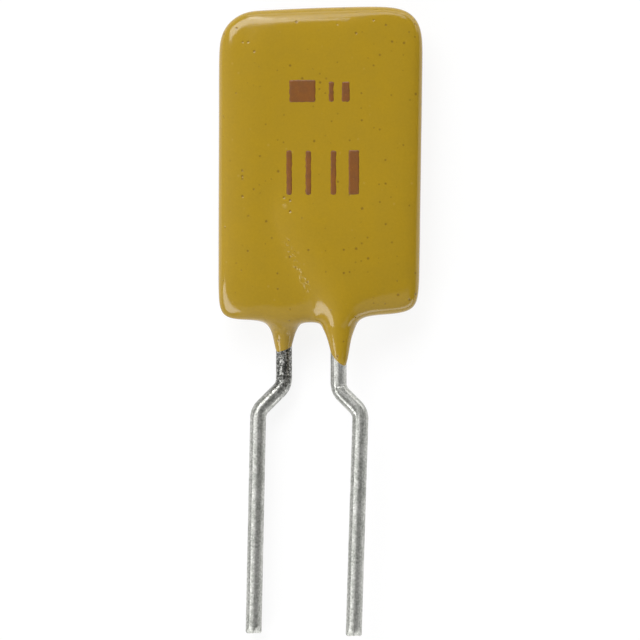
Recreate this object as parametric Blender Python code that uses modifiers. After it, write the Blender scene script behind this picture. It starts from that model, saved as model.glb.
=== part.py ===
"""Radial-lead resettable fuse: a polymer element dipped in epoxy, on two kinked wires.

The part is worked out with the lower edge of its body at y = 0 and the middle of its
thickness at z = 0, and then laid on its back with its middle over the origin.
+X runs to the front lead's side, +Y to the top of the body, +Z out of the front face.
"""
import math
from collections import namedtuple

import bmesh
import bpy
from mathutils import Matrix, Vector

MM = 0.001

# Dipped body, over the dry epoxy
BODY_WIDTH = 10.30 * MM
BODY_HEIGHT = 15.80 * MM
BODY_DRAW_IN = 0.18 * MM
BODY_LEAN = 0.05 * MM
TOP_FALL = 0.34 * MM
TOP_CROWN = 0.11 * MM
LOWER_EDGE_RISE = 0.27 * MM
TOP_CORNER_RADIUS = 1.85 * MM
LOWER_LEFT_RADIUS = 1.10 * MM
LOWER_RIGHT_RADIUS = 1.35 * MM
EDGE_ROUND = 1.35 * MM
# The wet epoxy draws back from the faces by this much beside the edges and at the corners, most of
# all at the lower left one
EDGE_SINK = 0.05 * MM
CORNER_SINK = 0.28 * MM
LOWER_LEFT_SINK = 0.45 * MM

# Epoxy cover over the pieces inside
EDGE_COVER = 0.80 * MM
FACE_COVER = 0.69 * MM
LEAD_COVER = 0.31 * MM

# Element: conductive polymer sheet between two nickel foils
POLYMER_THICKNESS = 0.60 * MM
FOIL_THICKNESS = 0.04 * MM
BOND_GAP = 0.02 * MM

# Leads: tinned round wire
WIRE_DIAMETER = 0.81 * MM
LEAD_PITCH = 5.16 * MM
EXIT_SPACING = 2.75 * MM
EXIT_CENTRE = -0.46 * MM
PITCH_CENTRE = -0.56 * MM
LEAD_REACH = 15.84 * MM
KINK_DEPTH = 4.61 * MM
KINK_ANGLE = math.radians(45.0)
KINK_BEND_RADIUS = 0.85 * MM
FRONT_LEAN = math.radians(1.77)
REAR_LEAN = math.radians(1.20)
TIP_BEVEL = 0.06 * MM

# Soldered stretch of each lead, on its foil; a slant to the right on the way up is positive
FRONT_SLANT = math.radians(-28.0)
REAR_SLANT = math.radians(30.0)
FRONT_BEND_HEIGHT = 1.30 * MM
REAR_BEND_HEIGHT = 0.25 * MM
INNER_BEND_RADIUS = 1.50 * MM
FRONT_INNER_RUN = 4.20 * MM
REAR_INNER_RUN = 5.85 * MM
SOLDER_FOOT = 0.35 * MM
SOLDER_CROWN = 0.08 * MM
SOLDER_HEIGHT = 0.45 * MM
SOLDER_SETBACK = 0.35 * MM

# Ridge that the epoxy draws over each soldered lead. Its section gives how high the cage stands
# over the face, as shares of the crest: 0 is over the lead, less is down the long flank on the
# side that the lead slants to, and more is on the shelf behind it.
RIDGE_FADE = 1.60 * MM
RIDGE_END_SHARE = 0.70
RIDGE_SECTION = {-3: 0.01, -2: 0.14, -1: 0.50, 0: 1.31, 1: 1.00, 2: 0.39}
RIDGE_FLANK = 1.25

# Meniscus down each wire
MENISCUS_ROOT_REACH = 1.12 * MM
MENISCUS_INNER_REACH = 0.95 * MM
FRONT_MENISCUS_DROP = 2.45 * MM
REAR_MENISCUS_DROP = 1.90 * MM
FRONT_MENISCUS_SPREAD = 0.43 * MM
REAR_MENISCUS_SPREAD = 0.36 * MM
FRONT_MENISCUS_SHIFT = 0.10 * MM
REAR_MENISCUS_SHIFT = -0.05 * MM
MENISCUS_END_SINK = 0.14 * MM
ARCH_DROP = 0.12 * MM

# Coarse cage of the body: steps across it from the left edge to the right edge, the columns of
# points over the two leads, and steps up it from the lower edge, of which the last are at the top
COLUMNS = 9
REAR_COLUMN = 3
FRONT_COLUMN = 6
ROWS = 8
TOP_ROWS = 3
TOP_BAND = 3.00 * MM
# Cage points at the shoulders stand this far in from the rim, and this share of the way out, which
# is less at the corners of the outline
SHOULDER_INSET = 0.10 * MM
SHOULDER_SHARE = 0.69
CORNER_SHARE = 0.45
# Rings of the cage down a wire: shares of the drop and of the spread, and how far it is settled
MENISCUS_RINGS = ((0.15, 1.00, 0.62), (0.37, 0.45, 0.92), (0.65, 0.16, 1.00))
# Subdivision weighs a cage point, the points beside it and the diagonal ones by these shares
OWN_WEIGHT, BESIDE_WEIGHT = 4 / 6, 1 / 6

# Facets
WIRE_BEVEL_STEPS = 6
BEND_STEPS = 5
TIP_BEVEL_STEPS = 2
CONE_SEGMENTS = 24
BODY_SUBDIVISIONS = 2
WELD_DISTANCE = 0.001 * MM
SMOOTH_ANGLE = math.radians(40.0)
SHARP_ANGLE = math.radians(60.0)

# Sizes that follow from the ones above
wire_radius = WIRE_DIAMETER / 2
stack_half = POLYMER_THICKNESS / 2 + BOND_GAP + FOIL_THICKNESS
lead_height = stack_half + BOND_GAP + wire_radius
face_height = stack_half + FACE_COVER
crest_height = lead_height + wire_radius + LEAD_COVER
element_left = -BODY_WIDTH / 2 + EDGE_COVER
element_right = BODY_WIDTH / 2 - BODY_DRAW_IN - EDGE_COVER
element_bottom = LOWER_EDGE_RISE + EDGE_COVER
element_top = BODY_HEIGHT - TOP_FALL - EDGE_COVER

# A subdivided cage shrinks: a ring of eight points ends at this share of its radius
RING_SHRINK = OWN_WEIGHT + 2 * BESIDE_WEIGHT * math.cos(math.pi / 4)

# A lead: the face that it is soldered to (1 in front, -1 behind), its column of the cage, its way
# from the body to its foot, the height, slant and length of its soldered run, and the meniscus on it
Lead = namedtuple("Lead", "name side column exit_x foot_x lean bend slant run drop spread shift")
front = Lead(
    name="front",
    side=1,
    column=FRONT_COLUMN,
    exit_x=EXIT_CENTRE + EXIT_SPACING / 2,
    foot_x=PITCH_CENTRE + LEAD_PITCH / 2,
    lean=FRONT_LEAN,
    bend=FRONT_BEND_HEIGHT,
    slant=FRONT_SLANT,
    run=FRONT_INNER_RUN,
    drop=FRONT_MENISCUS_DROP,
    spread=FRONT_MENISCUS_SPREAD,
    shift=FRONT_MENISCUS_SHIFT,
)
rear = Lead(
    name="rear",
    side=-1,
    column=REAR_COLUMN,
    exit_x=EXIT_CENTRE - EXIT_SPACING / 2,
    foot_x=PITCH_CENTRE - LEAD_PITCH / 2,
    lean=REAR_LEAN,
    bend=REAR_BEND_HEIGHT,
    slant=REAR_SLANT,
    run=REAR_INNER_RUN,
    drop=REAR_MENISCUS_DROP,
    spread=REAR_MENISCUS_SPREAD,
    shift=REAR_MENISCUS_SHIFT,
)


def clear_scene():
    for old in list(bpy.data.objects):
        bpy.data.objects.remove(old, do_unlink=True)


def new_collection(name):
    group = bpy.data.collections.new(name)
    bpy.context.scene.collection.children.link(group)
    return group


def principled(name, colour, roughness, metallic=0.0):
    material = bpy.data.materials.new(name)
    material.use_nodes = True
    shader = material.node_tree.nodes["Principled BSDF"]
    shader.inputs["Base Color"].default_value = (*colour, 1.0)
    shader.inputs["Roughness"].default_value = roughness
    shader.inputs["Metallic"].default_value = metallic
    return material


def add_object(name, mesh, material=None):
    thing = bpy.data.objects.new(name, mesh)
    thing.parent = fuse
    if material is None:
        thing.hide_render = True
        thing.display_type = "WIRE"
        cutters.objects.link(thing)
        return thing
    mesh.materials.clear()
    mesh.materials.append(material)
    parts.objects.link(thing)
    return thing


def evaluated_mesh(thing):
    bpy.context.view_layer.update()
    graph = bpy.context.evaluated_depsgraph_get()
    return bpy.data.meshes.new_from_object(thing.evaluated_get(graph))


def cut(thing, cutter):
    modifier = thing.modifiers.new("cut_" + cutter.name, "BOOLEAN")
    modifier.operation = "DIFFERENCE"
    modifier.solver = "EXACT"
    modifier.object = cutter


def smooth(mesh):
    mesh.shade_smooth()
    mesh.set_sharp_from_angle(angle=SMOOTH_ANGLE)


def rounded_path(corners, radii):
    """The corner points joined by straight runs, with each inner corner an arc."""
    points = [corners[0]]
    for before, corner, after, radius in zip(corners, corners[1:], corners[2:], radii):
        arrive = (corner - before).normalized()
        leave = (after - corner).normalized()
        turn = arrive.angle(leave)
        reach = radius * math.tan(turn / 2)
        start = corner - arrive * reach
        inward = (leave - arrive * arrive.dot(leave)).normalized()
        centre = start + inward * radius
        for step in range(BEND_STEPS + 1):
            angle = turn * step / BEND_STEPS
            points.append(centre - inward * radius * math.cos(angle) + arrive * radius * math.sin(angle))
    points.append(corners[-1])
    return points


def inner_end(lead):
    """Where the soldered stretch of a lead ends: across the body, and up it."""
    x = lead.exit_x + lead.run * math.sin(lead.slant)
    return x, lead.bend + lead.run * math.cos(lead.slant)


def lead_corners(lead):
    """Corners of a lead, from its soldered end to past its tip."""
    z = lead.side * lead_height
    sideways = abs(lead.foot_x - lead.exit_x)
    kink_top = -KINK_DEPTH + sideways / math.tan(KINK_ANGLE)
    tip_run = LEAD_REACH + WIRE_DIAMETER - KINK_DEPTH
    return [
        Vector((*inner_end(lead), z)),
        Vector((lead.exit_x, lead.bend, z)),
        Vector((lead.exit_x, kink_top, z)),
        Vector((lead.foot_x, -KINK_DEPTH, z)),
        Vector((lead.foot_x - tip_run * math.tan(lead.lean), -KINK_DEPTH - tip_run, z)),
    ]


def wire_mesh(name, points, radius):
    """A round wire along the points, as one closed mesh."""
    line = bpy.data.curves.new(name + "_line", "CURVE")
    line.dimensions = "3D"
    line.bevel_depth = radius
    line.bevel_resolution = WIRE_BEVEL_STEPS
    line.use_fill_caps = True
    spline = line.splines.new("POLY")
    spline.points.add(len(points) - 1)
    for point, place in zip(spline.points, points):
        point.co = (*place, 1.0)
    drawn = bpy.data.objects.new(name + "_line", line)
    parts.objects.link(drawn)
    mesh = evaluated_mesh(drawn)
    bpy.data.objects.remove(drawn, do_unlink=True)
    work = bmesh.new()
    work.from_mesh(mesh)
    bmesh.ops.remove_doubles(work, verts=work.verts, dist=WELD_DISTANCE)
    work.to_mesh(mesh)
    work.free()
    return mesh


def trim_tip(mesh):
    """Cuts the wire off square to the part's length, where both tips end."""
    work = bmesh.new()
    work.from_mesh(mesh)
    everything = work.verts[:] + work.edges[:] + work.faces[:]
    tip = Vector((0.0, -LEAD_REACH, 0.0))
    bmesh.ops.bisect_plane(work, geom=everything, plane_co=tip, plane_no=(0, -1, 0), clear_outer=True)
    open_edges = [edge for edge in work.edges if edge.is_boundary]
    bmesh.ops.holes_fill(work, edges=open_edges)
    work.to_mesh(mesh)
    work.free()


def make_lead(lead):
    """The wire, and the bore that it takes in its solder and in the epoxy."""
    name = lead.name + "_lead"
    points = rounded_path(lead_corners(lead), (INNER_BEND_RADIUS, KINK_BEND_RADIUS, KINK_BEND_RADIUS))
    mesh = wire_mesh(name, points, wire_radius)
    trim_tip(mesh)
    wire = add_object(name, mesh, tinned_copper)
    round_off = wire.modifiers.new("cut_ends", "BEVEL")
    round_off.width = TIP_BEVEL
    round_off.segments = TIP_BEVEL_STEPS
    round_off.limit_method = "ANGLE"
    round_off.angle_limit = SHARP_ANGLE
    smooth(mesh)
    # The bore starts a bond gap past the wire's inner end
    points[0] += (points[0] - points[1]).normalized() * BOND_GAP
    return add_object(name + "_bore", wire_mesh(name + "_bore", points, wire_radius + BOND_GAP))


def box_mesh(name, low, high):
    work = bmesh.new()
    bmesh.ops.create_cube(work, size=1.0)
    low, high = Vector(low), Vector(high)
    size = Matrix.Diagonal(high - low).to_4x4()
    bmesh.ops.transform(work, matrix=Matrix.Translation((low + high) / 2) @ size, verts=work.verts)
    mesh = bpy.data.meshes.new(name)
    work.to_mesh(mesh)
    work.free()
    return mesh


def make_element():
    """Polymer sheet with a foil on each face, and the space they take in the epoxy."""
    half = POLYMER_THICKNESS / 2
    left, right, bottom, top = element_left, element_right, element_bottom, element_top
    sheet = box_mesh("ptc_element", (left, bottom, -half), (right, top, half))
    add_object("ptc_element", sheet, black_polymer)
    inner, outer = half + BOND_GAP, half + BOND_GAP + FOIL_THICKNESS
    front_foil = box_mesh("front_electrode", (left, bottom, inner), (right, top, outer))
    add_object("front_electrode", front_foil, nickel_foil)
    rear_foil = box_mesh("rear_electrode", (left, bottom, -outer), (right, top, -inner))
    add_object("rear_electrode", rear_foil, nickel_foil)
    grown = Vector((BOND_GAP, BOND_GAP, BOND_GAP))
    low = Vector((left, bottom, -outer)) - grown
    high = Vector((right, top, outer)) + grown
    return add_object("element_pocket", box_mesh("element_pocket", low, high))


def solder_mesh(name, lead, grow):
    """A bead with sloping flanks along the soldered wire: a cone whose halves are drawn apart."""
    along = Vector((math.sin(lead.slant), math.cos(lead.slant), 0.0))
    bend = Vector((lead.exit_x, lead.bend, 0.0))
    run_start = (element_bottom + SOLDER_SETBACK + wire_radius - lead.bend) / along.y
    length = lead.run - run_start
    work = bmesh.new()
    height = SOLDER_HEIGHT + 2 * grow
    foot = wire_radius + SOLDER_FOOT + grow
    crown = wire_radius + SOLDER_CROWN + grow
    half_step = Matrix.Rotation(math.pi / CONE_SEGMENTS, 4, "Z")
    bmesh.ops.create_cone(
        work,
        cap_ends=True,
        segments=CONE_SEGMENTS,
        radius1=foot,
        radius2=crown,
        depth=height,
        matrix=half_step,
    )
    for vert in work.verts:
        if vert.co.y > 0:
            vert.co.y += length
    base = stack_half + BOND_GAP - grow
    tilt = Matrix.Rotation(-lead.slant, 4, "Z")
    place = Matrix.Translation(bend + along * run_start)
    flip = Matrix.Rotation(0.0 if lead is front else math.pi, 4, "Y")
    lift = Matrix.Translation((0.0, 0.0, lead.side * (base + height / 2)))
    bmesh.ops.transform(work, matrix=lift @ place @ tilt @ flip, verts=work.verts)
    mesh = bpy.data.meshes.new(name)
    work.to_mesh(mesh)
    work.free()
    return mesh


def make_solder(lead, bore):
    """The bead of solder along a lead, and the pocket that it takes in the epoxy."""
    name = lead.name + "_solder"
    bead = add_object(name, solder_mesh(name, lead, 0.0), solder_tin)
    cut(bead, bore)
    return add_object(name + "_pocket", solder_mesh(name + "_pocket", lead, BOND_GAP))


def column_places():
    """Places of the cage's columns across the body, before they follow the leads."""
    rim = 2 * BESIDE_WEIGHT * SHOULDER_INSET
    left, right = -BODY_WIDTH / 2 - rim, BODY_WIDTH / 2 + rim
    return [
        left,
        left + EDGE_ROUND,
        rear.exit_x - MENISCUS_ROOT_REACH,
        rear.exit_x,
        rear.exit_x + MENISCUS_INNER_REACH,
        front.exit_x - MENISCUS_INNER_REACH,
        front.exit_x,
        front.exit_x + MENISCUS_ROOT_REACH,
        right - EDGE_ROUND,
        right,
    ]


def row_places():
    """Places of the cage's rows up the body."""
    rim = 2 * BESIDE_WEIGHT * SHOULDER_INSET
    first = EDGE_ROUND
    last = inner_end(front)[1] + RIDGE_FADE
    steps = ROWS - TOP_ROWS - 1
    inner = [first + (last - first) * step / steps for step in range(steps + 1)]
    top = BODY_HEIGHT + rim
    return [-rim] + inner + [top - TOP_BAND, top - EDGE_ROUND, top]


def corner_pull(radius):
    """How far a corner point of the cage moves in, for the corner to come out at this radius."""
    depth = radius * (1 - math.cos(math.pi / 4))
    beside = BESIDE_WEIGHT * OWN_WEIGHT * (EDGE_ROUND + 2 * SHOULDER_INSET)
    diagonal = BESIDE_WEIGHT**2 * 2 * (EDGE_ROUND + SHOULDER_INSET)
    return (depth - beside - diagonal) / OWN_WEIGHT


def lead_swing(lead, y):
    """How far a soldered lead has gone across the body at a height, back to none at the top."""
    end_x, end_y = inner_end(lead)
    if y < end_y:
        return max(y - lead.bend, 0.0) * math.tan(lead.slant)
    return (end_x - lead.exit_x) * max(BODY_HEIGHT - y, 0.0) / (BODY_HEIGHT - end_y)


def follow_lead(lead, column, y):
    """Across a face, three columns follow the soldered lead and the others share what is left."""
    xs = column_places()
    flank = lead.column - lead.side
    xs[flank] = lead.exit_x + (xs[flank] - lead.exit_x) * RIDGE_FLANK
    swing = lead_swing(lead, y)
    if abs(column - lead.column) <= 1:
        return xs[column] + swing
    on_left = column < lead.column
    fixed, beside_lead = (xs[1], xs[lead.column - 1]) if on_left else (xs[-2], xs[lead.column + 1])
    share = (xs[column] - fixed) / (beside_lead - fixed)
    return fixed + (beside_lead + swing - fixed) * share


def ridge_share(lead, y):
    """How much of the ridge's full height is left at a height up the body."""
    end_y = inner_end(lead)[1]
    fading = 1 - (1 - RIDGE_END_SHARE) * y / end_y
    return fading if y < end_y + RIDGE_FADE / 2 else 0.0


def cage_height(column, row, lead):
    """How far a cage point of a face stands out from the middle of the body's thickness."""
    across = column - lead.column
    on_side, on_end = column in (0, COLUMNS), row in (0, ROWS)
    by_side, by_end = column in (1, COLUMNS - 1), row in (1, ROWS - 1)
    crest = (crest_height - face_height) * ridge_share(lead, row_places()[row])
    if row == 0 and across == 0:
        return face_height + crest / OWN_WEIGHT
    if row == 0 and across == lead.side:
        return face_height
    if on_side or on_end:
        return face_height * (CORNER_SHARE if on_side and on_end else SHOULDER_SHARE)
    height = face_height + crest * RIDGE_SECTION.get(across * lead.side, 0.0)
    if by_side and by_end:
        return height - (LOWER_LEFT_SINK if column == row == 1 else CORNER_SINK)
    return height - EDGE_SINK if by_side or by_end else height


def body_place(column, row, level):
    """Place of the cage point at a column, a row and a level: -1 behind, 0 at the rim, 1 in front."""
    lead = front if level > 0 else rear
    x, y = column_places()[column], row_places()[row]
    on_side, on_end = column in (0, COLUMNS), row in (0, ROWS)
    z = level * cage_height(column, row, lead)
    if not on_end and 1 < column < COLUMNS - 1:
        x = follow_lead(lead, column, y)
    inset = SHOULDER_INSET if level else 0.0
    if level and row == 0 and column - lead.column in (0, lead.side):
        inset = -inset
    if on_side and on_end:
        lower_radius = LOWER_LEFT_RADIUS if column == 0 else LOWER_RIGHT_RADIUS
        inset += corner_pull(lower_radius if row == 0 else TOP_CORNER_RADIUS)
    if column >= COLUMNS - 1:
        x -= BODY_DRAW_IN * (1 - y / BODY_HEIGHT)
    if row >= ROWS - 1:
        y += TOP_CROWN * (1 - (2 * x / BODY_WIDTH) ** 2) - TOP_FALL * (BODY_WIDTH / 2 - x) / BODY_WIDTH
    if row == 0 and column > front.column:
        y += LOWER_EDGE_RISE
    elif row == 0 and column > rear.column:
        y -= ARCH_DROP
    x += inset * ((column == 0) - (column == COLUMNS)) + BODY_LEAN * y / BODY_HEIGHT
    y += inset * ((row == 0) - (row == ROWS))
    return Vector((x, y, z))


def leg_place(column, ring, level):
    """Place of the cage point of a leg: ring 1 is under the body's edge, the last one is the end."""
    lead = front if abs(column - front.column) <= 1 else rear
    if ring <= len(MENISCUS_RINGS):
        drop_share, spread_share, settled = MENISCUS_RINGS[ring - 1]
        radius = wire_radius + lead.spread * spread_share
    else:
        drop_share, settled = 1.0, 1.0
        radius = wire_radius - MENISCUS_END_SINK
    across, out = column - lead.column, level
    length = math.hypot(across, out) or 1.0
    radius /= RING_SHRINK
    x = lead.exit_x + lead.shift * drop_share + radius * across / length
    z = lead.side * (lead_height * settled + lead.shift * drop_share) + radius * out / length
    return Vector((x, -lead.drop * drop_share, z))


def body_cage():
    """A block cut into whole steps, with two legs drawn down, whose points then go to their places."""
    work = bmesh.new()
    bmesh.ops.create_cube(work, size=2.0)
    for vert in work.verts:
        vert.co.x = COLUMNS if vert.co.x > 0 else 0
        vert.co.y = ROWS if vert.co.y > 0 else 0
    planes = [((step, 0, 0), (1, 0, 0)) for step in range(1, COLUMNS)]
    planes += [((0, step, 0), (0, 1, 0)) for step in range(1, ROWS)]
    planes += [((0, 0, 0), (0, 0, 1))]
    for place, direction in planes:
        everything = work.verts[:] + work.edges[:] + work.faces[:]
        bmesh.ops.bisect_plane(work, geom=everything, plane_co=place, plane_no=direction)
    for lead in (rear, front):
        for ring in range(len(MENISCUS_RINGS) + 1):
            ends = []
            for face in work.faces:
                at = face.calc_center_median()
                if abs(at.x - lead.column) < 1 and round(2 * at.y) == -2 * ring:
                    ends.append(face)
            drawn = bmesh.ops.extrude_face_region(work, geom=ends)
            moved = [item for item in drawn["geom"] if isinstance(item, bmesh.types.BMVert)]
            bmesh.ops.translate(work, verts=moved, vec=(0, -1, 0))
            bmesh.ops.delete(work, geom=ends, context="FACES")
    for vert in work.verts:
        column, row, level = (round(value) for value in vert.co)
        vert.co = body_place(column, row, level) if row >= 0 else leg_place(column, -row, level)
    bmesh.ops.recalc_face_normals(work, faces=work.faces)
    mesh = bpy.data.meshes.new("body_cage")
    work.to_mesh(mesh)
    work.free()
    return mesh


def make_coating(pockets):
    """The dipped epoxy: the cage rounded by subdivision, hollow for all that it holds."""
    blank = bpy.data.objects.new("body_cage", body_cage())
    parts.objects.link(blank)
    rounding = blank.modifiers.new("rounding", "SUBSURF")
    rounding.levels = BODY_SUBDIVISIONS
    rounding.render_levels = BODY_SUBDIVISIONS
    mesh = evaluated_mesh(blank)
    bpy.data.objects.remove(blank, do_unlink=True)
    coating = add_object("epoxy_coating", mesh, yellow_epoxy)
    smooth(mesh)
    for pocket in pockets:
        cut(coating, pocket)


clear_scene()
parts = new_collection("resettable_fuse")
cutters = new_collection("cutters")
fuse = bpy.data.objects.new("resettable_fuse_origin", None)
parts.objects.link(fuse)
fuse.location = (0.0, (LEAD_REACH - BODY_HEIGHT) / 2, crest_height)

yellow_epoxy = principled("yellow_epoxy", (0.402, 0.254, 0.020), 0.30)
tinned_copper = principled("tinned_copper", (0.62, 0.62, 0.60), 0.32, 1.0)
solder_tin = principled("solder_tin", (0.55, 0.56, 0.57), 0.40, 1.0)
nickel_foil = principled("nickel_foil", (0.66, 0.61, 0.54), 0.38, 1.0)
black_polymer = principled("black_polymer", (0.012, 0.012, 0.013), 0.60)

hollows = [make_element()]
for soldered in (front, rear):
    wire_bore = make_lead(soldered)
    hollows += [make_solder(soldered, wire_bore), wire_bore]
make_coating(hollows)
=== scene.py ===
"""Looks of a radial-lead resettable fuse that lies on its back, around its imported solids."""

import math
from collections import namedtuple

import bmesh
import bpy
from mathutils import Matrix, Vector, noise
from mathutils.bvhtree import BVHTree


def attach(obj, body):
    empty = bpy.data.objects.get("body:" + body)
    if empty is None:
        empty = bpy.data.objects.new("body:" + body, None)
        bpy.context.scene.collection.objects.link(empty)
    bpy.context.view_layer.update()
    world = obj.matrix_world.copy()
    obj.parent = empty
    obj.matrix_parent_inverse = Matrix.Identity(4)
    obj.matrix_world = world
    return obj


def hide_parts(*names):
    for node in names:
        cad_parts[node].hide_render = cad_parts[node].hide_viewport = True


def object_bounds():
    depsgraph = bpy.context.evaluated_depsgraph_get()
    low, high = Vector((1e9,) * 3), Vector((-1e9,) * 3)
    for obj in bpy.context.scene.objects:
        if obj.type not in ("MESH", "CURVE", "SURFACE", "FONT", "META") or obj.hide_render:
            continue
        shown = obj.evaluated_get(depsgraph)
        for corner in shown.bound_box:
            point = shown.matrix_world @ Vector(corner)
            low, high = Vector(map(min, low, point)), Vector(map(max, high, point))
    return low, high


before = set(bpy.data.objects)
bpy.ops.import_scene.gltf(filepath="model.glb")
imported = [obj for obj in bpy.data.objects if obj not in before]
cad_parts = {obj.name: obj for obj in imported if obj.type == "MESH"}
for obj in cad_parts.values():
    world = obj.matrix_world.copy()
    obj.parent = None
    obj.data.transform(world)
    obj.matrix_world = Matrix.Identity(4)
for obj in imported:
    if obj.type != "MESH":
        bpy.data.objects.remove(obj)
cad_low, cad_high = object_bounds()

MM = 0.001


# The fuse element: a sheet of crystalline polymer packed with carbon black, punched out of
# a pressed laminate. It is sealed in the epoxy, between the two foils.

POLYMER_COLOURS = ((0.008, 0.008, 0.009), (0.022, 0.021, 0.021))
POLYMER_ROUGHNESS = (0.52, 0.68)
POLYMER_IOR = 1.5
CLUMP_SCALE = 1.4
CARBON_GRAIN_SCALE = 26.0
CARBON_GRAIN_DEPTH = 0.004 * MM


def node(tree, kind, inputs, **settings):
    """A shader node, its inputs set to values or joined to other nodes' outputs."""
    made = tree.nodes.new("ShaderNode" + kind)
    for name, value in settings.items():
        setattr(made, name, value)
    for key, value in inputs.items():
        if isinstance(value, bpy.types.NodeSocket):
            tree.links.new(value, made.inputs[key])
        else:
            made.inputs[key].default_value = value
    return made


def new_finish(name, ior=POLYMER_IOR, metallic=0.0):
    """A material, its node tree, and the place on the surface in millimetres."""
    material = bpy.data.materials.new(name)
    material.use_nodes = True
    tree = material.node_tree
    shader = tree.nodes["Principled BSDF"]
    shader.inputs["IOR"].default_value = ior
    shader.inputs["Metallic"].default_value = metallic
    place = node(tree, "TexCoord", {}).outputs["Object"]
    in_mm = node(tree, "VectorMath", {0: place, "Scale": 1 / MM}, operation="SCALE")
    return material, tree, in_mm.outputs["Vector"]


def grain(tree, place, scale, detail=2.0, roughness=0.5):
    values = {"Vector": place, "Scale": scale, "Detail": detail, "Roughness": roughness}
    return node(tree, "TexNoise", values).outputs[0]


def arithmetic(tree, operation, *values):
    return node(tree, "Math", dict(enumerate(values)), operation=operation).outputs[0]


def vectors(tree, operation, first, second):
    """What a sum, difference, product, dot product or distance of two vectors gives."""
    output = "Value" if operation in ("DOT_PRODUCT", "DISTANCE") else "Vector"
    return node(tree, "VectorMath", {0: first, 1: second}, operation=operation).outputs[output]


# Range that a noise keeps to, but for a few peaks
NOISE_RANGE = (0.3, 0.7)


def stretch(tree, value, low, high, first=0.0, last=1.0):
    """The value's range from low to high drawn out to run from first to last, and held there."""
    values = {"Value": value, "From Min": low, "From Max": high, "To Min": first, "To Max": last}
    return node(tree, "MapRange", values).outputs["Result"]


def two_tone(tree, share, first, last):
    first, last = ((*colour, 1.0) if isinstance(colour, tuple) else colour for colour in (first, last))
    return node(tree, "MixRGB", {"Fac": share, "Color1": first, "Color2": last}).outputs["Color"]


def relief(tree, height, depth, under=None):
    values = {"Height": height, "Distance": depth}
    if under:
        values["Normal"] = under
    return node(tree, "Bump", values).outputs["Normal"]


def put_on(tree, colour, roughness, normal):
    shader = tree.nodes["Principled BSDF"]
    for key, value in (("Base Color", colour), ("Roughness", roughness), ("Normal", normal)):
        tree.links.new(value, shader.inputs[key])


def dress(name, material):
    """Gives a CAD node that is shown as it is its finish."""
    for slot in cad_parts[name].material_slots:
        slot.material = material


polymer, tree, place = new_finish("carbon_filled_polymer")
clumps = grain(tree, place, CLUMP_SCALE, detail=4.0)
carbon = grain(tree, place, CARBON_GRAIN_SCALE, detail=3.0)
put_on(
    tree,
    two_tone(tree, clumps, *POLYMER_COLOURS),
    stretch(tree, clumps, *NOISE_RANGE, *POLYMER_ROUGHNESS),
    relief(tree, carbon, CARBON_GRAIN_DEPTH),
)
dress("ptc_element", polymer)


# The two electrodes: nickel foil, rough on the side that is pressed into the polymer and
# satin on the side that the wires are soldered to.

NICKEL_COLOURS = ((0.58, 0.53, 0.46), (0.70, 0.65, 0.58))
NICKEL_ROUGHNESS = (0.32, 0.44)
NODULE_SCALE = 34.0
NODULE_DEPTH = 0.003 * MM
ROLLED_STREAKS = (0.6, 9.0, 9.0)

nickel, tree, place = new_finish("rolled_nickel_foil", metallic=1.0)
streaks = grain(tree, vectors(tree, "MULTIPLY", place, ROLLED_STREAKS), 1.0, detail=3.0)
put_on(
    tree,
    two_tone(tree, streaks, *NICKEL_COLOURS),
    stretch(tree, streaks, *NOISE_RANGE, *NICKEL_ROUGHNESS),
    relief(tree, grain(tree, place, NODULE_SCALE), NODULE_DEPTH),
)
for foil in ("front_electrode", "rear_electrode"):
    dress(foil, nickel)


# The leads: copper wire with a coat of tin, soldered flat on a foil, bent down out of the
# body, kinked to stop the fuse at its height over the board, and cut off by nippers.

WIRE_DIAMETER = 0.81 * MM
# How far the middle of a lead lies from the middle of the body's thickness
LEAD_HEIGHT = 0.785 * MM
LEAD_REACH = 15.84 * MM
KINK_DEPTH = 4.61 * MM
KINK_ANGLE = math.radians(45.0)
KINK_BEND_RADIUS = 0.85 * MM
INNER_BEND_RADIUS = 1.50 * MM
# The lower edge of the body, at the middle of its thickness, in the frame
BODY_FOOT = Vector((0.0, 0.02 * MM, 1.50 * MM))

# Fineness of the swept mesh, and the rim that rounds off at a tip
WIRE_SIDES = 44
RING_STEP = 0.11 * MM
BEND_STEPS = 14
TIP_CHAMFER = 0.11 * MM
TIP_STEPS = 5
SHARP_ANGLE = math.radians(32.0)
# Flats that the nippers leave at a tip: way that each faces, and how far down the wire it starts
NIPPED_FLATS = (((-0.35, -0.36, 0.87), 0.36 * MM), ((0.45, -0.55, 0.70), 0.30 * MM))
# Groove that the bending tool leaves across the front of the front lead, above its kink
TOOL_MARK_DEPTH = 0.030 * MM
TOOL_MARK_WIDTH = 0.055 * MM
TOOL_MARK_PLACE = -3.32 * MM
TOOL_MARK_WRAP = 0.3
TOOL_MARK_REACH = 3 * TOOL_MARK_WIDTH

TIN_COLOURS = ((0.32, 0.33, 0.30), (0.66, 0.66, 0.63))
TIN_ROUGHNESS = (0.44, 0.36)
# Drawing through the die leaves fine lines along the wire, which draw out what it mirrors
TIN_STRETCH = 0.90
DRAWN_STREAKS = (9.0, 9.0, 1.1)
STREAK_DEPTH = 0.003 * MM
# Frosted grain of the tin, finer and in slow patches
TIN_GRAIN_SCALE = 9.0
TIN_GRAIN_DEPTH = 0.007 * MM
PATCH_SCALE = 1.1
PATCH_SHARE = 0.3
TONE_RANGE = (0.50, 0.80)
# Flux has stained the rear lead below its meniscus, but for bright specks: where the stain
# fades down the lead and on the side of the other lead, and which specks stay bright
STAINED_TIN_COLOUR = (0.07, 0.07, 0.065)
STAIN_ENDS = (-4.3, -2.9)
STAIN_SIDES = (-0.9, -1.3)
STAIN_SPECKLE = (0.62, 0.47)

wire_radius = WIRE_DIAMETER / 2
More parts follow.
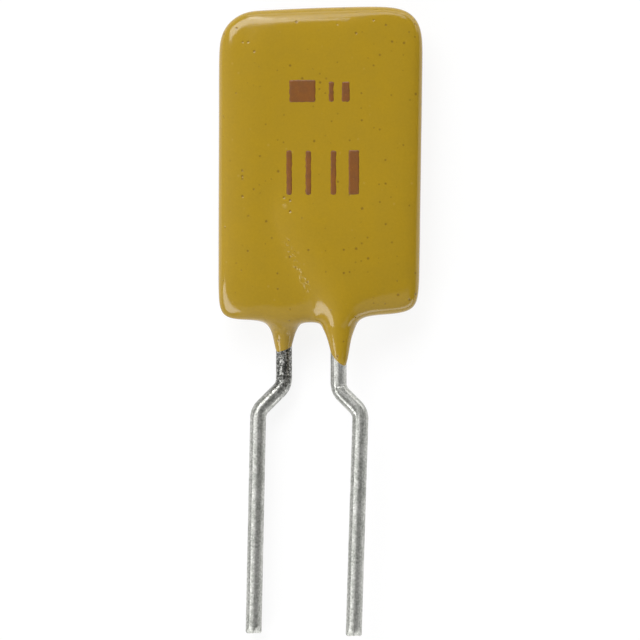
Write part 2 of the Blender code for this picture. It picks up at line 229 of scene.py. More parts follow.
# Each lead's side of the body, places across it at the exit and the foot, lean below the kink, and
# the height, slant and length of its soldered run
Lead = namedtuple("Lead", "name side exit_x foot_x lean bend slant run")
front = Lead("front", 1, 0.915 * MM, 2.02 * MM, math.radians(1.77), 1.30 * MM, math.radians(-28.0), 4.20 * MM)
rear = Lead("rear", -1, -1.835 * MM, -3.14 * MM, math.radians(1.20), 0.25 * MM, math.radians(30.0), 5.85 * MM)


def rounded_path(corners, radii):
    """The corner points joined by straight runs, with each inner corner an arc."""
    points = [corners[0]]
    for before, corner, after, radius in zip(corners, corners[1:], corners[2:], radii):
        arrive = (corner - before).normalized()
        leave = (after - corner).normalized()
        turn = arrive.angle(leave)
        start = corner - arrive * radius * math.tan(turn / 2)
        inward = (leave - arrive * arrive.dot(leave)).normalized()
        for step in range(BEND_STEPS + 1):
            angle = turn * step / BEND_STEPS
            points.append(start + inward * radius * (1 - math.cos(angle)) + arrive * radius * math.sin(angle))
    points.append(corners[-1])
    return points


def inner_end(lead):
    """Where the soldered stretch of a lead ends: across the body, and up it."""
    x = lead.exit_x + lead.run * math.sin(lead.slant)
    return x, lead.bend + lead.run * math.cos(lead.slant)


def lead_path(lead):
    """The way of a lead from its soldered end to its tip, in steps no longer than a ring step."""
    z = lead.side * LEAD_HEIGHT
    sideways = abs(lead.foot_x - lead.exit_x)
    tip_run = LEAD_REACH - KINK_DEPTH
    corners = [
        Vector((*inner_end(lead), z)),
        Vector((lead.exit_x, lead.bend, z)),
        Vector((lead.exit_x, sideways / math.tan(KINK_ANGLE) - KINK_DEPTH, z)),
        Vector((lead.foot_x, -KINK_DEPTH, z)),
        Vector((lead.foot_x - tip_run * math.tan(lead.lean), -LEAD_REACH, z)),
    ]
    coarse = rounded_path(corners, (INNER_BEND_RADIUS, KINK_BEND_RADIUS, KINK_BEND_RADIUS))
    points = [coarse[0]]
    for start, stop in zip(coarse, coarse[1:]):
        count = math.ceil((stop - start).length / RING_STEP)
        points += [start.lerp(stop, step / count) for step in range(1, count + 1)]
    return points


def swept_wire(name, points, radius_at, pushed):
    """Rings along a flat path, closed at both ends, that keep how far round and along they lie,
    and which way the wire runs there."""
    work = bmesh.new()
    along = work.verts.layers.float_vector.new("round_and_along")
    heading = work.verts.layers.float_vector.new("along_wire")
    rings, gone = [], 0.0
    for index, point in enumerate(points):
        before, after = points[max(index - 1, 0)], points[min(index + 1, len(points) - 1)]
        ahead = (after - before).normalized()
        across = Vector((-ahead.y, ahead.x, 0.0))
        gone += (point - before).length
        radius = radius_at(index, point)
        ring = []
        for side in range(WIRE_SIDES):
            angle = math.tau * side / WIRE_SIDES
            out = across * math.cos(angle) + Vector((0.0, 0.0, math.sin(angle)))
            vert = work.verts.new(pushed(point + out * radius, point, out) + BODY_FOOT)
            vert[along] = Vector((radius * math.cos(angle), radius * math.sin(angle), gone)) / MM
            vert[heading] = ahead
            ring.append(vert)
        rings.append(ring)
    for ring, following in zip(rings, rings[1:]):
        for side in range(WIRE_SIDES):
            beside = (side + 1) % WIRE_SIDES
            work.faces.new((ring[side], ring[beside], following[beside], following[side]))
    work.faces.new(rings[0])
    work.faces.new(rings[-1])
    bmesh.ops.recalc_face_normals(work, faces=work.faces)
    mesh = bpy.data.meshes.new(name)
    work.to_mesh(mesh)
    work.free()
    mesh.shade_smooth()
    mesh.set_sharp_from_angle(angle=SHARP_ANGLE)
    return mesh


def make_lead(lead):
    points = lead_path(lead)
    tip, heading = points[-1], (points[-1] - points[-2]).normalized()
    # The nippers leave the rim of the tip round, so the last rings close in
    del points[-2:]
    first_round = len(points)
    for step in range(TIP_STEPS + 1):
        turn = math.pi / 2 * step / TIP_STEPS
        points.append(tip - heading * TIP_CHAMFER * (1 - math.sin(turn)))

    def radius_at(index, point):
        if index < first_round:
            return wire_radius
        turn = math.pi / 2 * (index - first_round) / TIP_STEPS
        return wire_radius - TIP_CHAMFER * (1 - math.cos(turn))

    def pushed(place, point, out):
        for facing, start in NIPPED_FLATS:
            facing = Vector(facing).normalized()
            rim = Vector((facing.x, 0.0, facing.z)).normalized() * wire_radius
            over = (place - (tip + Vector((0.0, start, 0.0)) + rim)).dot(facing)
            if over > 0:
                place = place - facing * over
        beyond = point.y - TOOL_MARK_PLACE
        if lead is front and abs(beyond) < TOOL_MARK_REACH:
            depth = TOOL_MARK_DEPTH * math.exp(-((beyond / TOOL_MARK_WIDTH) ** 2))
            place = place - out * depth * max(out.z + TOOL_MARK_WRAP, 0.0)
        return place

    mesh = swept_wire(lead.name + "_wire", points, radius_at, pushed)
    wire = bpy.data.objects.new("tinned_" + lead.name + "_lead", mesh)
    bpy.context.scene.collection.objects.link(wire)
    wire.data.materials.append(tin)
    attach(wire, "root")
    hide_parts(lead.name + "_lead")


tin, tree, place = new_finish("drawn_tin", metallic=1.0)
round_and_along = node(tree, "Attribute", {}, attribute_name="round_and_along").outputs["Vector"]
streaks = grain(tree, vectors(tree, "MULTIPLY", round_and_along, DRAWN_STREAKS), 1.0)
speckle = grain(tree, round_and_along, TIN_GRAIN_SCALE, detail=3.0, roughness=0.65)
patches = grain(tree, round_and_along, PATCH_SCALE)
tone = stretch(tree, arithmetic(tree, "MULTIPLY_ADD", patches, PATCH_SHARE, speckle), *TONE_RANGE)
where = node(tree, "SeparateXYZ", {"Vector": place}).outputs
stained = stretch(tree, where["Y"], *STAIN_ENDS)
stained = arithmetic(tree, "MULTIPLY", stained, stretch(tree, where["X"], *STAIN_SIDES))
stained = arithmetic(tree, "MULTIPLY", stained, stretch(tree, speckle, *STAIN_SPECKLE))
put_on(
    tree,
    two_tone(tree, stained, two_tone(tree, tone, *TIN_COLOURS), STAINED_TIN_COLOUR),
    stretch(tree, tone, 0.0, 1.0, *TIN_ROUGHNESS),
    relief(tree, streaks, STREAK_DEPTH, relief(tree, speckle, TIN_GRAIN_DEPTH)),
)
shader = tree.nodes["Principled BSDF"]
shader.inputs["Anisotropic"].default_value = TIN_STRETCH
along_wire = node(tree, "Attribute", {}, attribute_name="along_wire").outputs["Vector"]
tree.links.new(along_wire, shader.inputs["Tangent"])
for lead in (front, rear):
    make_lead(lead)


# The solder that holds each wire to its foil: a bead with sloping flanks, dull where the
# tin has frozen slowly, buried in the epoxy.

SOLDER_COLOURS = ((0.50, 0.51, 0.52), (0.62, 0.63, 0.63))
SOLDER_ROUGHNESS = (0.34, 0.48)
FROZEN_GRAIN_SCALE = 5.0
FROZEN_GRAIN_RANGE = (0.0, 0.7)
FROZEN_GRAIN_DEPTH = 0.006 * MM

solder, tree, place = new_finish("frozen_solder", metallic=1.0)
crystals = node(tree, "TexVoronoi", {"Vector": place, "Scale": FROZEN_GRAIN_SCALE}).outputs["Distance"]
put_on(
    tree,
    two_tone(tree, crystals, *SOLDER_COLOURS),
    stretch(tree, crystals, *FROZEN_GRAIN_RANGE, *SOLDER_ROUGHNESS),
    relief(tree, crystals, FROZEN_GRAIN_DEPTH),
)
for bead in ("front_solder", "rear_solder"):
    dress(bead, solder)


# The coat: epoxy powder that melts on the hot element, runs smooth and cures. It stands in a
# ridge over each soldered wire, and runs down each wire in a meniscus.

# Outline: its right side draws in downwards, and its top is crowned and falls to the left
BODY_WIDTH = 10.30 * MM
BODY_HEIGHT = 15.80 * MM
BODY_DRAW_IN = 0.18 * MM
BODY_LEAN = 0.05 * MM
TOP_FALL = 0.34 * MM
TOP_CROWN = 0.11 * MM
LOWER_EDGE_RISE = 0.27 * MM
TOP_CORNER_RADIUS = 1.85 * MM
LOWER_LEFT_RADIUS = 1.10 * MM
LOWER_RIGHT_RADIUS = 1.35 * MM
# Rounded edge, and how far the faces sink towards it, more so at the corners
EDGE_ROUND = 1.35 * MM
EDGE_SINK = 0.05 * MM
CORNER_SINK = 0.28 * MM
LOWER_LEFT_SINK = 0.18 * MM
# Height of a face and of the crest over its lead, from the middle of the body's thickness
FACE_HEIGHT = 1.05 * MM
CREST_HEIGHT = 1.50 * MM
RIDGE_FADE = 1.60 * MM
# Height of the ridge's cage points from the side it leans to, across to its shelf, as shares of the crest
RIDGE_SECTION = {-3: 0.01, -2: 0.14, -1: 0.50, 0: 1.31, 1: 1.00, 2: 0.39}
RIDGE_FLANK = 1.25
RIDGE_END_SHARE = 0.70
MENISCUS_ROOT_REACH = 1.12 * MM
MENISCUS_INNER_REACH = 0.95 * MM
MENISCUS_END_SINK = 0.14 * MM
ARCH_DROP = 0.12 * MM
# Meniscus on each lead: how far it drops, spreads at its root and shifts to the side
Meniscus = namedtuple("Meniscus", "column drop spread shift")
menisci = {
    front: Meniscus(6, 2.45 * MM, 0.43 * MM, 0.10 * MM),
    rear: Meniscus(3, 1.90 * MM, 0.36 * MM, -0.05 * MM),
}

# Coarse cage of the body, whose points a subdivision surface rounds off
COLUMNS = 9
ROWS = 8
TOP_ROWS = 3
TOP_BAND = 3.00 * MM
# Shoulder between a face and the rim: how far in it stands, and its share of the face's height
SHOULDER_INSET = 0.10 * MM
SHOULDER_SHARE = 0.69
CORNER_SHARE = 0.45
LOWER_LEFT_SHARE = 0.07
# Rings down a meniscus: share of its drop, of its spread, and of the way out to the lead's height
MENISCUS_RINGS = ((0.15, 1.00, 0.62), (0.37, 0.45, 0.92), (0.65, 0.16, 1.00))
# Shares of a cage point and of each point beside it in the place that rounding gives it
OWN_WEIGHT, BESIDE_WEIGHT = 4 / 6, 1 / 6
RING_SHRINK = OWN_WEIGHT + 2 * BESIDE_WEIGHT * math.cos(math.pi / 4)
FINE_SUBDIVISIONS = 4

# Slow waves of the cured skin
WAVE_LENGTH = 2.2 * MM
WAVE_DEPTH = 0.012 * MM


def column_places():
    rim = 2 * BESIDE_WEIGHT * SHOULDER_INSET
    left, right = -BODY_WIDTH / 2 - rim, BODY_WIDTH / 2 + rim
    return [
        left,
        left + EDGE_ROUND,
        rear.exit_x - MENISCUS_ROOT_REACH,
        rear.exit_x,
        rear.exit_x + MENISCUS_INNER_REACH,
        front.exit_x - MENISCUS_INNER_REACH,
        front.exit_x,
        front.exit_x + MENISCUS_ROOT_REACH,
        right - EDGE_ROUND,
        right,
    ]


def row_places():
    rim = 2 * BESIDE_WEIGHT * SHOULDER_INSET
    last = inner_end(front)[1] + RIDGE_FADE
    steps = ROWS - TOP_ROWS - 1
    inner = [EDGE_ROUND + (last - EDGE_ROUND) * step / steps for step in range(steps + 1)]
    top = BODY_HEIGHT + rim
    return [-rim] + inner + [top - TOP_BAND, top - EDGE_ROUND, top]


def corner_pull(radius):
    """How far a corner point of the cage moves in, for the corner to come out at this radius."""
    depth = radius * (1 - math.cos(math.pi / 4))
    beside = BESIDE_WEIGHT * OWN_WEIGHT * (EDGE_ROUND + 2 * SHOULDER_INSET)
    diagonal = BESIDE_WEIGHT**2 * 2 * (EDGE_ROUND + SHOULDER_INSET)
    return (depth - beside - diagonal) / OWN_WEIGHT


def lead_swing(lead, y):
    """How far a soldered lead has gone across the body at a height, back to none at the top."""
    end_x, end_y = inner_end(lead)
    if y < end_y:
        return max(y - lead.bend, 0.0) * math.tan(lead.slant)
    return (end_x - lead.exit_x) * max(BODY_HEIGHT - y, 0.0) / (BODY_HEIGHT - end_y)


def follow_lead(lead, column, y):
    """Across a face, three columns follow the soldered lead and the others share what is left."""
    xs = column_places()
    own = menisci[lead].column
    flank = own - lead.side
    xs[flank] = lead.exit_x + (xs[flank] - lead.exit_x) * RIDGE_FLANK
    swing = lead_swing(lead, y)
    if abs(column - own) <= 1:
        return xs[column] + swing
    fixed, beside_lead = (xs[1], xs[own - 1]) if column < own else (xs[-2], xs[own + 1])
    share = (xs[column] - fixed) / (beside_lead - fixed)
    return fixed + (beside_lead + swing - fixed) * share


def ridge_share(lead, y):
    """How much of the ridge's full height is left at a height up the body."""
    end_y = inner_end(lead)[1]
    return 1 - (1 - RIDGE_END_SHARE) * y / end_y if y < end_y + RIDGE_FADE / 2 else 0.0


def cage_height(column, row, lead):
    """How far a cage point of a face stands out from the middle of the body's thickness."""
    across = column - menisci[lead].column
    by_side, by_end = column in (1, COLUMNS - 1), row in (1, ROWS - 1)
    crest = (CREST_HEIGHT - FACE_HEIGHT) * ridge_share(lead, row_places()[row])
    if row == 0 and across == 0:
        return FACE_HEIGHT + crest / OWN_WEIGHT
    if row == 0 and across == lead.side:
        return FACE_HEIGHT
    if column in (0, COLUMNS) and row in (0, ROWS):
        return FACE_HEIGHT * (LOWER_LEFT_SHARE if column == row == 0 else CORNER_SHARE)
    if column in (0, COLUMNS) or row in (0, ROWS):
        return FACE_HEIGHT * SHOULDER_SHARE
    height = FACE_HEIGHT + crest * RIDGE_SECTION.get(across * lead.side, 0.0)
    if by_side and by_end:
        return height - (LOWER_LEFT_SINK if column == row == 1 else CORNER_SINK)
    return height - EDGE_SINK if by_side or by_end else height


def body_place(column, row, level):
    """Place of the cage point at a column, a row and a level: -1 behind, 0 at the rim, 1 in front."""
    lead = front if level > 0 else rear
    x, y = column_places()[column], row_places()[row]
    on_side, on_end = column in (0, COLUMNS), row in (0, ROWS)
    z = level * cage_height(column, row, lead)
    if not on_end and 1 < column < COLUMNS - 1:
        x = follow_lead(lead, column, y)
    inset = SHOULDER_INSET if level else 0.0
    if level and row == 0 and column - menisci[lead].column in (0, lead.side):
        inset = -inset
    if on_side and on_end:
        lower_radius = LOWER_LEFT_RADIUS if column == 0 else LOWER_RIGHT_RADIUS
        inset += corner_pull(lower_radius if row == 0 else TOP_CORNER_RADIUS)
    if column >= COLUMNS - 1:
        x -= BODY_DRAW_IN * (1 - y / BODY_HEIGHT)
    if row >= ROWS - 1:
        y += TOP_CROWN * (1 - (2 * x / BODY_WIDTH) ** 2) - TOP_FALL * (BODY_WIDTH / 2 - x) / BODY_WIDTH
    if row == 0 and column > menisci[front].column:
        y += LOWER_EDGE_RISE
    elif row == 0 and column > menisci[rear].column:
        y -= ARCH_DROP
    x += inset * ((column == 0) - (column == COLUMNS)) + BODY_LEAN * y / BODY_HEIGHT
    y += inset * ((row == 0) - (row == ROWS))
    return Vector((x, y, z))


def leg_place(column, ring, level):
    """Place of the cage point of a leg: ring 1 is under the body's edge, the last one is the end."""
    lead = front if abs(column - menisci[front].column) <= 1 else rear
    own = menisci[lead]
    if ring <= len(MENISCUS_RINGS):
        drop_share, spread_share, settled = MENISCUS_RINGS[ring - 1]
        radius = wire_radius + own.spread * spread_share
    else:
        drop_share, settled = 1.0, 1.0
        radius = wire_radius - MENISCUS_END_SINK
    across, out = column - own.column, level
    length = math.hypot(across, out) or 1.0
    radius /= RING_SHRINK
    x = lead.exit_x + own.shift * drop_share + radius * across / length
    z = lead.side * (LEAD_HEIGHT * settled + own.shift * drop_share) + radius * out / length
    return Vector((x, -own.drop * drop_share, z))


def body_cage():
    """A block cut into whole steps, with two legs drawn down, whose points then go to their places."""
    work = bmesh.new()
    bmesh.ops.create_cube(work, size=2.0)
    for vert in work.verts:
        vert.co.x = COLUMNS if vert.co.x > 0 else 0
        vert.co.y = ROWS if vert.co.y > 0 else 0
    planes = [((step, 0, 0), (1, 0, 0)) for step in range(1, COLUMNS)]
    planes += [((0, step, 0), (0, 1, 0)) for step in range(1, ROWS)]
    planes += [((0, 0, 0), (0, 0, 1))]
    for spot, direction in planes:
        everything = work.verts[:] + work.edges[:] + work.faces[:]
        bmesh.ops.bisect_plane(work, geom=everything, plane_co=spot, plane_no=direction)
    for own in menisci.values():
        for ring in range(len(MENISCUS_RINGS) + 1):
            ends = []
            for face in work.faces:
                at = face.calc_center_median()
                if abs(at.x - own.column) < 1 and round(2 * at.y) == -2 * ring:
                    ends.append(face)
            drawn_out = bmesh.ops.extrude_face_region(work, geom=ends)
            moved = [item for item in drawn_out["geom"] if isinstance(item, bmesh.types.BMVert)]
            bmesh.ops.translate(work, verts=moved, vec=(0, -1, 0))
            bmesh.ops.delete(work, geom=ends, context="FACES")
    for vert in work.verts:
        column, row, level = (round(value) for value in vert.co)
        vert.co = body_place(column, row, level) if row >= 0 else leg_place(column, -row, level)
    bmesh.ops.recalc_face_normals(work, faces=work.faces)
    mesh = bpy.data.meshes.new("body_cage")
    work.to_mesh(mesh)
    work.free()
    return mesh


def evaluated_mesh(thing):
    bpy.context.view_layer.update()
    graph = bpy.context.evaluated_depsgraph_get()
    return bpy.data.meshes.new_from_object(thing.evaluated_get(graph))


def wave_skin(mesh):
    """Lets the skin sink a little in slow waves, never outwards."""
    moves = []
    for vert in mesh.vertices:
        swell = noise.noise(vert.co / WAVE_LENGTH)
        moves.append(vert.normal * -WAVE_DEPTH * (0.5 + 0.5 * swell))
    for vert, move in zip(mesh.vertices, moves):
        vert.co += move


def rounded_body():
    blank = bpy.data.objects.new("body_cage", body_cage())
    bpy.context.scene.collection.objects.link(blank)
    rounding = blank.modifiers.new("rounding", "SUBSURF")
    rounding.levels = FINE_SUBDIVISIONS
    rounding.render_levels = FINE_SUBDIVISIONS
    mesh = evaluated_mesh(blank)
    bpy.data.objects.remove(blank, do_unlink=True)
    wave_skin(mesh)
    mesh.transform(Matrix.Translation(BODY_FOOT))
    return mesh


EPOXY_COLOURS = ((0.402, 0.252, 0.0125), (0.386, 0.244, 0.0140))
# Darker colour painted into the pits as the shade inside them
PIT_SHADE_COLOUR = (0.16, 0.085, 0.010)
# Pale colour of the filler flecks, also painted on the crest's wrinkles, blister rim and nib as glints
FLECK_AND_GLINT_COLOUR = (0.52, 0.36, 0.10)
EPOXY_ROUGHNESS = (0.10, 0.16)
EPOXY_IOR = 1.5
CLOUD_SCALE = 1.1
# Mineral filler just under the skin
FILLER_SCALE = 9.0
FILLER_DEPTH = 0.0012 * MM
FILLER_RANGE = (0.25, 0.75)
FILLER_TONE = (0.955, 1.045)
# Pits where bubbles have burst, darkened with painted shade, and pale flecks of filler, their sizes and
# places in millimetres
SPOT_SPACING = 0.30
SPOT_FLATNESS = 0.7
PIT_SIZE = 0.046
PIT_SHARE = 0.48
PIT_SHADE_SHARE = 0.65
PIT_SHIFT = (3.9, 6.6, 1.2)
PIT_DEPTH = 0.010 * MM
FLECK_SIZE = 0.050
FLECK_SHARE = 0.15
FLECK_PALENESS = 0.22
FLECK_SHIFT = (5.3, 2.1, 7.7)
# Wrinkled trail down the crest of the front ridge, bumped and also painted pale as glints, in millimetres:
# its ends, how it fades to its sides and ends, and the height over the table above which it shows
CREST_START, CREST_END = Vector((-1.83, 4.20, 0.0)), Vector((-0.54, 1.28, 0.0))
CREST_WIDTH = (0.27, 0.08)
CREST_FADE = 0.25
FRONT_FACE_HEIGHT = (1.6, 2.1)
WRINKLE_STRETCH = (5.5, 3.6, 3.0)
WRINKLE_SHARE = (0.53, 0.64)
WRINKLE_GLINT_SHARE = 0.30
WRINKLE_DEPTH = 0.012 * MM
NIB_PLACE = Vector((-1.75, 5.69, 0.0))
NIB_RADIUS = 0.16
NIB_TOP = 0.03
BLISTER_PLACE = Vector((-0.86, 2.02, 0.0))
BLISTER_RADIUS = 0.15
BLISTER_RIM = 0.05
BLISTER_RIM_SHARE = 0.8
# Faint unevenness of the gloss
PEEL_SCALE = 1.6
PEEL_DEPTH = 0.006 * MM

epoxy, tree, place = new_finish("glossy_ochre_epoxy", ior=EPOXY_IOR)
clouds = grain(tree, place, CLOUD_SCALE, detail=3.0)
filler = grain(tree, place, FILLER_SCALE, roughness=0.6)
body_colour = two_tone(tree, stretch(tree, clouds, *NOISE_RANGE), *EPOXY_COLOURS)


def spots(tree, place, spacing, size, share):
    """Round spots in that share of the cells of a random lattice: 1 inside, 0 outside."""
    flat = vectors(tree, "MULTIPLY", place, (1.0, 1.0, SPOT_FLATNESS))
    cells = node(tree, "TexVoronoi", {"Vector": flat, "Scale": 1 / spacing})
    lots = node(tree, "SeparateColor", {"Color": cells.outputs["Color"]})
    drawn_lot = stretch(tree, lots.outputs[0], 1 - share, 1.0, 0.0, 2 * size / spacing)
    nearness = arithmetic(tree, "SUBTRACT", drawn_lot, cells.outputs["Distance"])
    return stretch(tree, nearness, 0.0, size / spacing)


def measured(tree, place, start, direction):
    """How far the place lies from a start along a direction, in millimetres."""
    return vectors(tree, "DOT_PRODUCT", vectors(tree, "SUBTRACT", place, start), direction)


def crest_wrinkles_and_glints(tree, place):
    """Fine wrinkles in a trail down the crest over the slanting wire, with a burst blister in it
    and a nib above it: one share that gives both their bumps and their painted glints."""
    down_crest = (CREST_END - CREST_START).normalized()
    across_crest = Vector((down_crest.y, -down_crest.x, 0.0))
    crest_length = (CREST_END - CREST_START).length
    along = measured(tree, place, CREST_START, down_crest)
    across = measured(tree, place, CREST_START, across_crest)
    beside = arithmetic(tree, "ABSOLUTE", across)
    on_crest = node(tree, "CombineXYZ", {"X": across, "Y": along}).outputs["Vector"]
    drawn_out = vectors(tree, "MULTIPLY", on_crest, WRINKLE_STRETCH)
    raised = stretch(tree, grain(tree, drawn_out, 1.0, detail=3.0), *WRINKLE_SHARE)
    for trail in (
        stretch(tree, beside, *CREST_WIDTH),
        stretch(tree, along, 0.0, CREST_FADE),
        stretch(tree, along, crest_length, crest_length - CREST_FADE),
    ):
        raised = arithmetic(tree, "MULTIPLY", raised, trail)
    flat = vectors(tree, "MULTIPLY", place, (1.0, 1.0, 0.0))
    off_centre = vectors(tree, "DISTANCE", flat, BLISTER_PLACE)
    off_rim = arithmetic(tree, "ABSOLUTE", arithmetic(tree, "SUBTRACT", off_centre, BLISTER_RADIUS))
    rim = stretch(tree, off_rim, BLISTER_RIM, 0.0, 0.0, BLISTER_RIM_SHARE)
    nib = stretch(tree, vectors(tree, "DISTANCE", flat, NIB_PLACE), NIB_RADIUS, NIB_TOP)
    for bump in (rim, nib):
        raised = arithmetic(tree, "MAXIMUM", raised, bump)
    height = node(tree, "SeparateXYZ", {"Vector": place}).outputs["Z"]
    return arithmetic(tree, "MULTIPLY", raised, stretch(tree, height, *FRONT_FACE_HEIGHT))


wrinkles_and_glints = crest_wrinkles_and_glints(tree, place)
pits = spots(tree, vectors(tree, "ADD", place, PIT_SHIFT), SPOT_SPACING, PIT_SIZE, PIT_SHARE)
flecks = spots(tree, vectors(tree, "ADD", place, FLECK_SHIFT), SPOT_SPACING, FLECK_SIZE, FLECK_SHARE)
coloured = body_colour
# Pits darkened with painted shade, pale flecks of filler, and painted pale glints on the crest's wrinkles,
# blister rim and nib
for marks, strength, colour in (
    (pits, PIT_SHADE_SHARE, PIT_SHADE_COLOUR),
    (flecks, FLECK_PALENESS, FLECK_AND_GLINT_COLOUR),
    (wrinkles_and_glints, WRINKLE_GLINT_SHARE, FLECK_AND_GLINT_COLOUR),
):
    coloured = two_tone(tree, stretch(tree, marks, 0.0, 1.0, 0.0, strength), coloured, colour)
shade = stretch(tree, filler, *FILLER_RANGE, *FILLER_TONE)
toned = node(tree, "HueSaturation", {"Color": coloured, "Value": shade}).outputs["Color"]
peel = relief(tree, grain(tree, place, PEEL_SCALE), PEEL_DEPTH)
fine = relief(tree, wrinkles_and_glints, WRINKLE_DEPTH, relief(tree, filler, FILLER_DEPTH, peel))
sunk = arithmetic(tree, "SUBTRACT", 1.0, pits)
rough = stretch(tree, clouds, *NOISE_RANGE, *EPOXY_ROUGHNESS)
put_on(tree, toned, rough, relief(tree, sunk, PIT_DEPTH, fine))

coat = bpy.data.objects.new("epoxy_coat", rounded_body())
bpy.context.scene.collection.objects.link(coat)
coat.data.materials.clear()
coat.data.materials.append(epoxy)
coat.data.shade_smooth()
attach(coat, "root")
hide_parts("epoxy_coating")


# The print: plain blocks and bars in brown ink, rolled onto the cured epoxy. The ink is a thin
# film with soft corners and slightly ragged edges, and it lies half in the skin.

INK_COLOURS = ((0.236, 0.084, 0.016), (0.180, 0.066, 0.014))
WORN_INK_COLOUR = (0.330, 0.170, 0.024)
INK_ROUGHNESS = (0.30, 0.44)
INK_CLOUD_SCALE = 2.6
INK_GRAIN_SCALE = 14.0
INK_GRAIN_DEPTH = 0.004 * MM
INK_THICKNESS = 0.020 * MM
INK_EDGE_SHARE = 0.2
INK_STEP = 0.06 * MM
INK_CORNER = 0.09 * MM
# Range of the grain in which the ink has worn thin, and how much of it is gone there
WORN_RANGE = (0.60, 0.72)
WORN_SHARE = 0.6
# How far the ragged edge strays and how fast. Blender starts this noise from the clock, so it
# takes a seed of its own, which gives the same edge in each run.
RAGGED_DEPTH = 0.030 * MM
RAGGED_LENGTH = 0.16 * MM
RAGGED_SEED = 1
# Height over the table from which the skin under the ink is looked for
PROBE_HEIGHT = 5.0 * MM
# Each mark's middle, across and up from the body's foot, and its width and height
UPPER_MARKS = ((-0.90, 11.47, 1.30, 1.12), (0.55, 11.44, 0.24, 1.00), (1.27, 11.44, 0.38, 1.00))
LOWER_MARKS = (
    (-1.56, 7.39, 0.27, 2.24),
    (-0.60, 7.38, 0.27, 2.20),
    (0.66, 7.38, 0.27, 2.22),
    (1.68, 7.40, 0.52, 2.22),
)


def soft_corner(x, y, half_width, half_height):
    """A place in an upright oblong, moved in so that rings of such places have round corners."""
    over_x, over_y = abs(x) - half_width + INK_CORNER, abs(y) - half_height + INK_CORNER
    if over_x <= 0 or over_y <= 0:
        return x, y
    closer = max(over_x, over_y) / math.hypot(over_x, over_y)
    new_x = half_width - INK_CORNER + over_x * closer
    new_y = half_height - INK_CORNER + over_y * closer
    return math.copysign(new_x, x), math.copysign(new_y, y)


def lay_mark(work, skin, middle_x, middle_y, width, height):
    """A closed film over the skin, thin at its edge."""
    across, up = math.ceil(width / INK_STEP), math.ceil(height / INK_STEP)
    upper, under = {}, {}
    for column in range(across + 1):
        for row in range(up + 1):
            x, y = (column / across - 0.5) * width, (row / up - 0.5) * height
            x, y = soft_corner(x, y, width / 2, height / 2)
            on_edge = column in (0, across) or row in (0, up)
            place = Vector((middle_x + x, middle_y + y, 0.0)) + BODY_FOOT
            if on_edge:
                sway = noise.noise_vector(place / RAGGED_LENGTH) * RAGGED_DEPTH
                place += Vector((sway.x, sway.y, 0.0))
            place.z = PROBE_HEIGHT
            hit, out = skin.ray_cast(place, Vector((0.0, 0.0, -1.0)))[:2]
            rise = INK_THICKNESS / 2 * (INK_EDGE_SHARE if on_edge else 1.0)
            upper[column, row] = work.verts.new(hit + out * rise)
            under[column, row] = work.verts.new(hit - out * INK_THICKNESS / 2)
    for column in range(across):
        for row in range(up):
            around = ((column, row), (column + 1, row), (column + 1, row + 1), (column, row + 1))
            work.faces.new([upper[at] for at in around])
            work.faces.new([under[at] for at in reversed(around)])
    rim = [(column, 0) for column in range(across)] + [(across, row) for row in range(up)]
    rim += [(column, up) for column in range(across, 0, -1)] + [(0, row) for row in range(up, 0, -1)]
    for at, following in zip(rim, rim[1:] + rim[:1]):
        work.faces.new((upper[following], upper[at], under[at], under[following]))


ink, tree, place = new_finish("brown_ink")
clouds = grain(tree, place, INK_CLOUD_SCALE, detail=3.0)
pinholes = grain(tree, place, INK_GRAIN_SCALE, detail=3.0, roughness=0.6)
inked = two_tone(tree, stretch(tree, clouds, *NOISE_RANGE), *INK_COLOURS)
put_on(
    tree,
    two_tone(tree, stretch(tree, pinholes, *WORN_RANGE, 0.0, WORN_SHARE), inked, WORN_INK_COLOUR),
    stretch(tree, clouds, *NOISE_RANGE, *INK_ROUGHNESS),
    relief(tree, pinholes, INK_GRAIN_DEPTH),
)

skin = BVHTree.FromObject(coat, bpy.context.evaluated_depsgraph_get())
work = bmesh.new()
noise.seed_set(RAGGED_SEED)
for mark in UPPER_MARKS + LOWER_MARKS:
    lay_mark(work, skin, *(size * MM for size in mark))
bmesh.ops.recalc_face_normals(work, faces=work.faces)
film = bpy.data.meshes.new("ink_film")
work.to_mesh(film)
work.free()
film.shade_smooth()
film.materials.append(ink)
brown_print = bpy.data.objects.new("brown_print", film)
bpy.context.scene.collection.objects.link(brown_print)
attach(brown_print, "root")


# The table: matt white, wide enough to fill every view, level with the lowest point that
# the fuse lies on. It looks white to the eye and keeps a faint shadow.

TABLE_HALF = 3.0
TABLE_WHITE = (0.80, 0.80, 0.80, 1.0)
TABLE_GLOW = 1.08
# How much of the table's true shading shows through its even white
SHADOW_SHARE = 0.20

work = bmesh.new()
bmesh.ops.create_grid(work, x_segments=1, y_segments=1, size=TABLE_HALF)
table_mesh = bpy.data.meshes.new("table_top")
work.to_mesh(table_mesh)
work.free()
table_top = bpy.data.objects.new("table_top", table_mesh)
table_top.location = (0.0, 0.0, cad_low.z)
bpy.context.scene.collection.objects.link(table_top)
white = bpy.data.materials.new("matt_white")
white.use_nodes = True
tree = white.node_tree
tree.nodes.clear()
matt = node(tree, "BsdfDiffuse", {"Color": TABLE_WHITE}).outputs[0]
glow = node(tree, "Emission", {"Strength": TABLE_GLOW}).outputs[0]
seen = node(tree, "MixShader", {0: SHADOW_SHARE, 1: glow, 2: matt}).outputs[0]
ray = node(tree, "LightPath", {}).outputs
direct = ray["Is Camera Ray"]
for other in ("Is Glossy Ray", "Is Transmission Ray"):
    direct = arithmetic(tree, "MAXIMUM", direct, ray[other])
surface = node(tree, "MixShader", {0: direct, 1: matt, 2: seen}).outputs[0]
node(tree, "OutputMaterial", {"Surface": surface})
table_mesh.materials.append(white)


# The light: a tent that is pale on the left and dim overhead, where the camera looks in, with
# soft boxes at the upper left, over the top and at the lower left, and low cards round the rest.

TENT_AXIS = (0.788, 0.0, 0.616)
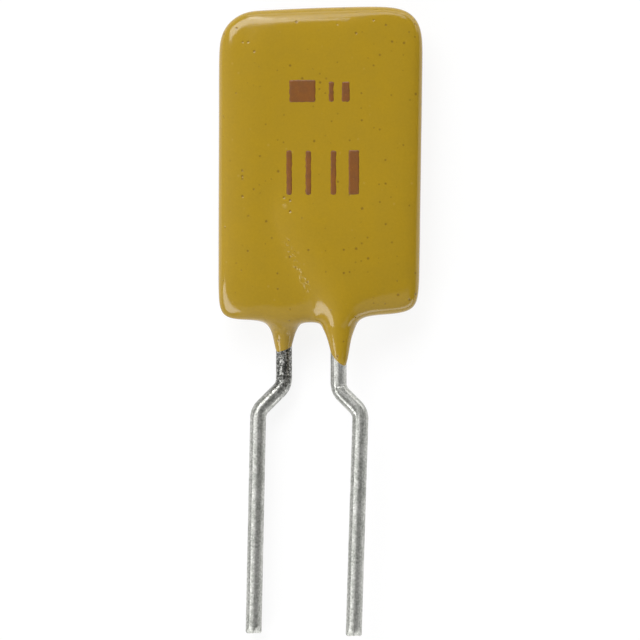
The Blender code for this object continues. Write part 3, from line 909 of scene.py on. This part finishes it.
# Share of the way from straight against the tent's axis to straight along it, and the light there
TENT_LIGHT = (
    (0.0, 0.32),
    (0.17, 0.46),
    (0.31, 0.54),
    (0.48, 0.42),
    (0.655, 0.20),
    (0.81, 0.12),
    (0.93, 0.09),
    (1.0, 0.09),
)
LAMP_DISTANCE = 0.60
LAMP_AIM = Vector((0.0, 4.0 * MM, 1.5 * MM))
# Way round and down from overhead in degrees, share of a white surface's light, and width and height
SOFT_BOXES = (
    ("upper_left_box", 120.0, 45.0, 0.36, (0.40, 0.27)),
    ("top_box", 84.0, 52.0, 0.14, (0.50, 0.18)),
    ("lower_left_box", 211.0, 63.0, 0.17, (0.44, 0.22)),
    ("far_strip", 88.0, 74.0, 0.05, (0.50, 0.20)),
    ("far_right_card", 45.0, 80.0, 0.035, (0.50, 0.20)),
    ("near_right_card", 312.0, 80.0, 0.04, (0.50, 0.20)),
    ("near_card", 283.0, 60.0, 0.18, (1.00, 0.80)),
)

world = bpy.data.worlds.new("light_tent")
bpy.context.scene.world = world
world.use_nodes = True
tree = world.node_tree
tree.nodes.clear()
direction = node(tree, "TexCoord", {}).outputs["Generated"]
height = vectors(tree, "DOT_PRODUCT", direction, TENT_AXIS)
ramp = node(tree, "ValToRGB", {"Fac": stretch(tree, height, -1.0, 1.0)})
steps = ramp.color_ramp.elements
while len(steps) < len(TENT_LIGHT):
    steps.new(0.5)
for step, (at, light) in zip(steps, TENT_LIGHT):
    step.position = at
    step.color = (light, light, light, 1.0)
sky = node(tree, "Background", {"Color": ramp.outputs["Color"], "Strength": 1.0}).outputs[0]
node(tree, "OutputWorld", {"Surface": sky})

for name, turn, down, share, size in SOFT_BOXES:
    turn, down = math.radians(turn), math.radians(down)
    away = Vector((math.sin(down) * math.cos(turn), math.sin(down) * math.sin(turn), math.cos(down)))
    box = bpy.data.lights.new(name, "AREA")
    box.shape = "RECTANGLE"
    box.size, box.size_y = size
    box.energy = math.pi**2 * LAMP_DISTANCE**2 * share / math.cos(down)
    lamp = bpy.data.objects.new(name, box)
    lamp.location = LAMP_AIM + away * LAMP_DISTANCE
    lamp.rotation_mode = "QUATERNION"
    lamp.rotation_quaternion = away.to_track_quat("Z", "Y")
    lamp.visible_camera = False
    bpy.context.scene.collection.objects.link(lamp)


# The camera: straight overhead with a long lens, as far off as fills the picture's width, and
# aimed at the middle of the fuse.

SENSOR_WIDTH = 36.0
LENS = 200.0
VIEW_WIDTH = 32.24 * MM
VIEW_CENTRE = Vector((-0.015 * MM, 0.025 * MM, 1.5 * MM))
CLIP_RANGE = (0.01, 10.0)

camera = bpy.data.objects.new("camera", bpy.data.cameras.new("camera"))
camera.data.sensor_width = SENSOR_WIDTH
camera.data.lens = LENS
camera.data.clip_start, camera.data.clip_end = CLIP_RANGE
camera.location = VIEW_CENTRE + Vector((0.0, 0.0, VIEW_WIDTH * LENS / SENSOR_WIDTH))
bpy.context.scene.collection.objects.link(camera)
bpy.context.scene.camera = camera
bpy.context.scene.view_settings.view_transform = "Standard"
